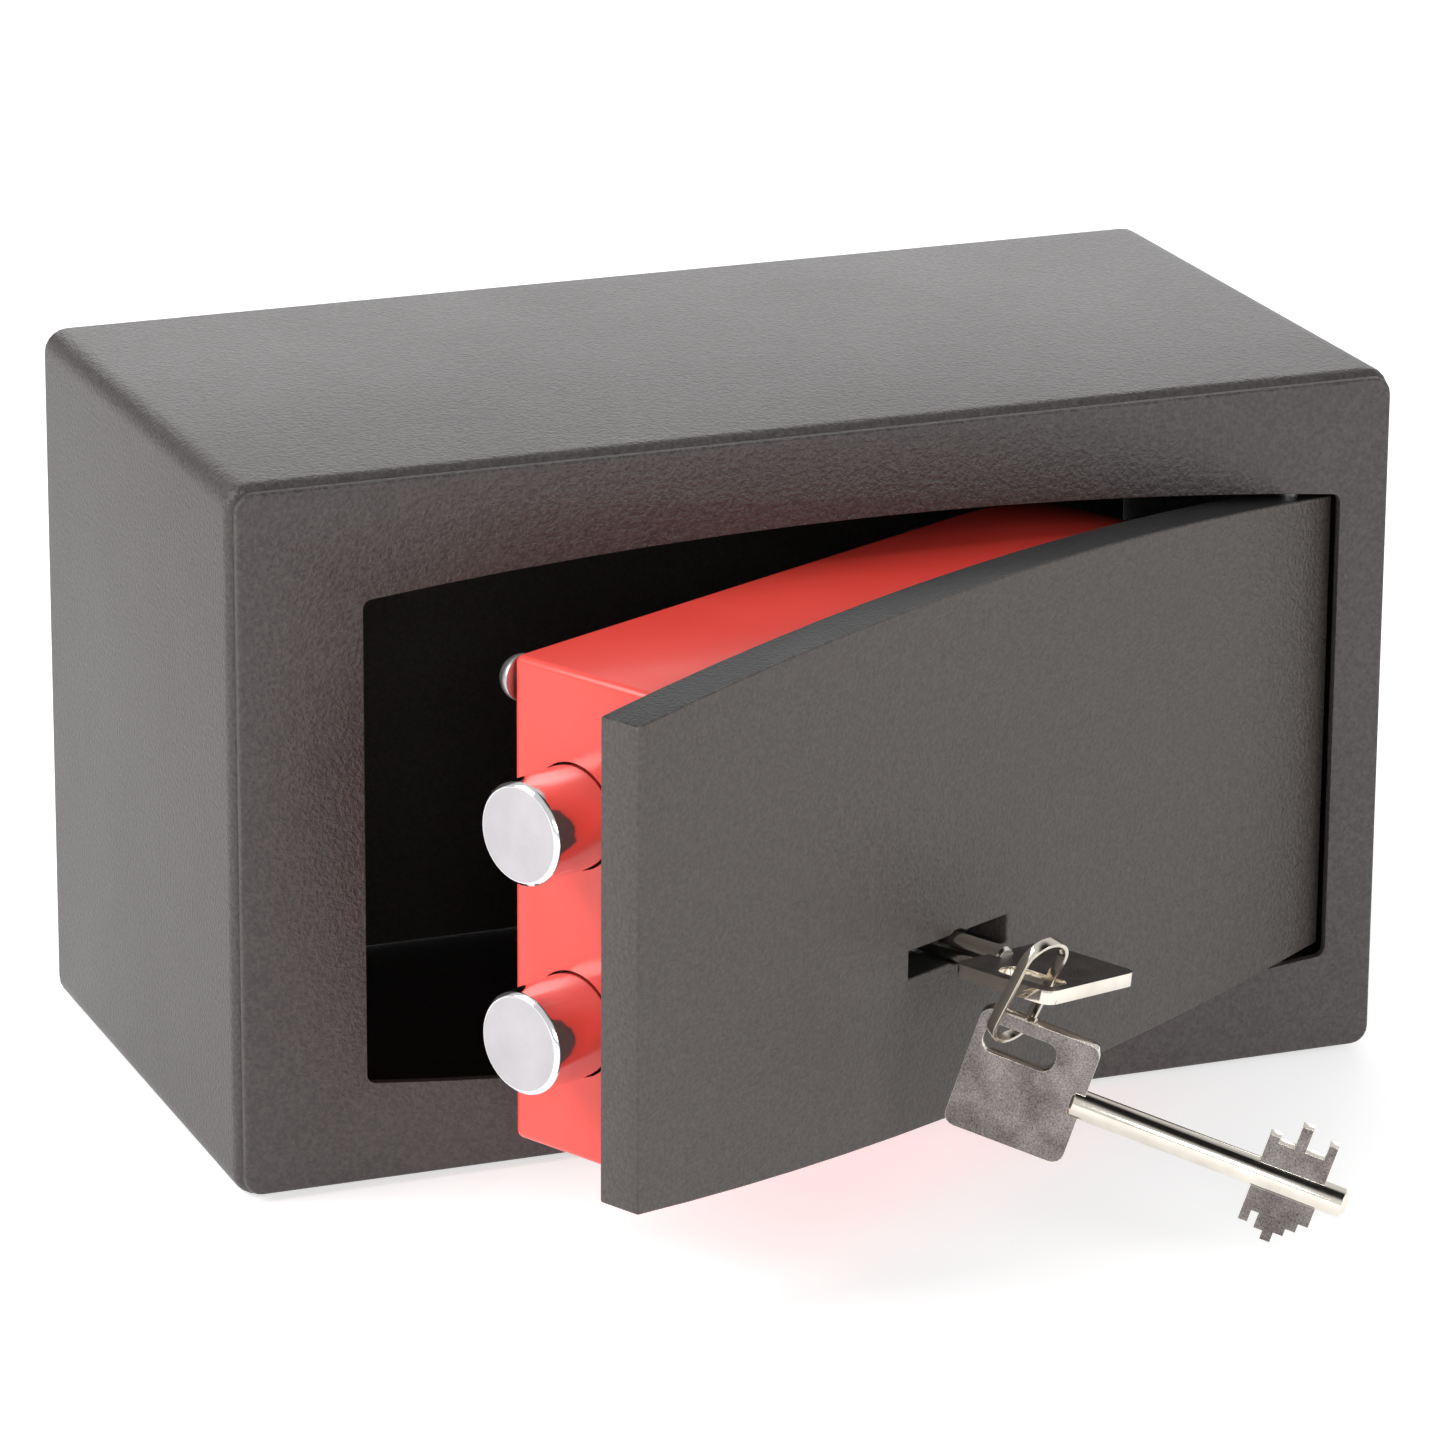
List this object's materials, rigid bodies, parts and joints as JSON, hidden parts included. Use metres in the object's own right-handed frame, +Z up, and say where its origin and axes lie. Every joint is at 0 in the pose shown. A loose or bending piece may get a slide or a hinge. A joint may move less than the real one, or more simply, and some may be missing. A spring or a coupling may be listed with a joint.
{
  "type": "key-locked steel home safe",
  "caption": "Small steel home safe with an arched hinged door ajar, sliding bolts, a red lock cover, a key in the lock and a spare key on a ring.",
  "frame": {"origin": "centre of the flat base, midway between the sides, the front and the back", "axes": "+X towards the hinge side, +Y from the door into the safe, +Z up"},
  "size_m": [0.254, 0.2399, 0.15],
  "materials": {
    "textured_coat": "fine textured powder coat",
    "red_lacquer": "satin enamel",
    "bright_chrome": "polished sides and satin ends",
    "zinc_steel": "satin zinc plate",
    "lever_brass": "satin",
    "nickel_plate": "worn nickel plate"
  },
  "bodies": {
    "case": {"case_shell": "textured_coat", "back_panel": "textured_coat", "front_frame": "textured_coat", "bolt_keeper": "zinc_steel", "hinge_bracket_upper": "textured_coat", "hinge_bracket_lower": "textured_coat"},
    "door": {"door_plate": "textured_coat", "lock_cover": "red_lacquer", "lever_1": "lever_brass", "lever_2": "lever_brass", "lever_3": "lever_brass", "lever_4": "lever_brass", "lever_5": "lever_brass", "lever_6": "lever_brass", "hinge_pin_upper": "zinc_steel", "hinge_pin_lower": "zinc_steel", "cover_stud_1": "zinc_steel", "cover_stud_2": "zinc_steel", "cover_stud_3": "zinc_steel", "cover_stud_4": "zinc_steel", "cover_dome_nut_1": "zinc_steel", "cover_dome_nut_2": "zinc_steel", "cover_dome_nut_3": "zinc_steel", "cover_dome_nut_4": "zinc_steel", "bolt_guide": "zinc_steel", "drill_plate": "zinc_steel", "lock_case": "zinc_steel", "lock_cap": "zinc_steel", "lock_post_1": "zinc_steel", "lock_post_2": "zinc_steel", "lock_post_3": "zinc_steel", "lock_post_4": "zinc_steel", "lock_screw_1": "zinc_steel", "lock_screw_2": "zinc_steel", "lock_screw_3": "zinc_steel", "lock_screw_4": "zinc_steel", "lever_post": "zinc_steel", "lever_spring": "zinc_steel"},
    "boltwork": {"locking_bolt_upper": "bright_chrome", "locking_bolt_lower": "bright_chrome", "bolt_carriage": "zinc_steel", "carriage_screw_upper": "zinc_steel", "carriage_screw_lower": "zinc_steel", "lock_bolt_tail": "zinc_steel"},
    "lock_drum": {"key_drum": "zinc_steel"},
    "key": {"key": "nickel_plate"},
    "ring": {"key_ring": "nickel_plate"},
    "spare": {"spare_key": "nickel_plate"}
  },
  "joints": [
    {"name": "door_hinge", "type": "hinge", "parent": "case", "child": "door", "pos_m": [0.10525, -0.0585, 0.0735], "axis": [0, 0, 1], "range_deg": [-26, 74]},
    {"name": "key_turn", "type": "hinge", "parent": "door", "child": "lock_drum", "pos_m": [0.00359, -0.10019, 0.0542], "axis": [0.4384, -0.8988, 0], "range_deg": [0, 360]},
    {"name": "bolt_slide", "type": "slide", "parent": "door", "child": "boltwork", "axis": [-0.8988, -0.4384, 0], "range_m": [0, 0.014]},
    {"name": "key_withdraw", "type": "slide", "parent": "lock_drum", "child": "key", "axis": [0.4384, -0.8988, 0], "range_m": [0, 0.046]},
    {"name": "ring_swing", "type": "hinge", "parent": "key", "child": "ring", "pos_m": [0.01064, -0.14247, 0.0557], "axis": [0.4384, -0.8988, 0], "range_deg": [-20, 20]},
    {"name": "spare_swing", "type": "hinge", "parent": "ring", "child": "spare", "pos_m": [0.009, -0.1396, 0.0485], "axis": [0.8096, -0.5004, -0.3069], "range_deg": [-20, 20]}
  ],
  "couplings": [
    {"joint": "bolt_slide", "follows": "key_turn", "m_per_rad": 0.002228}
  ]
}
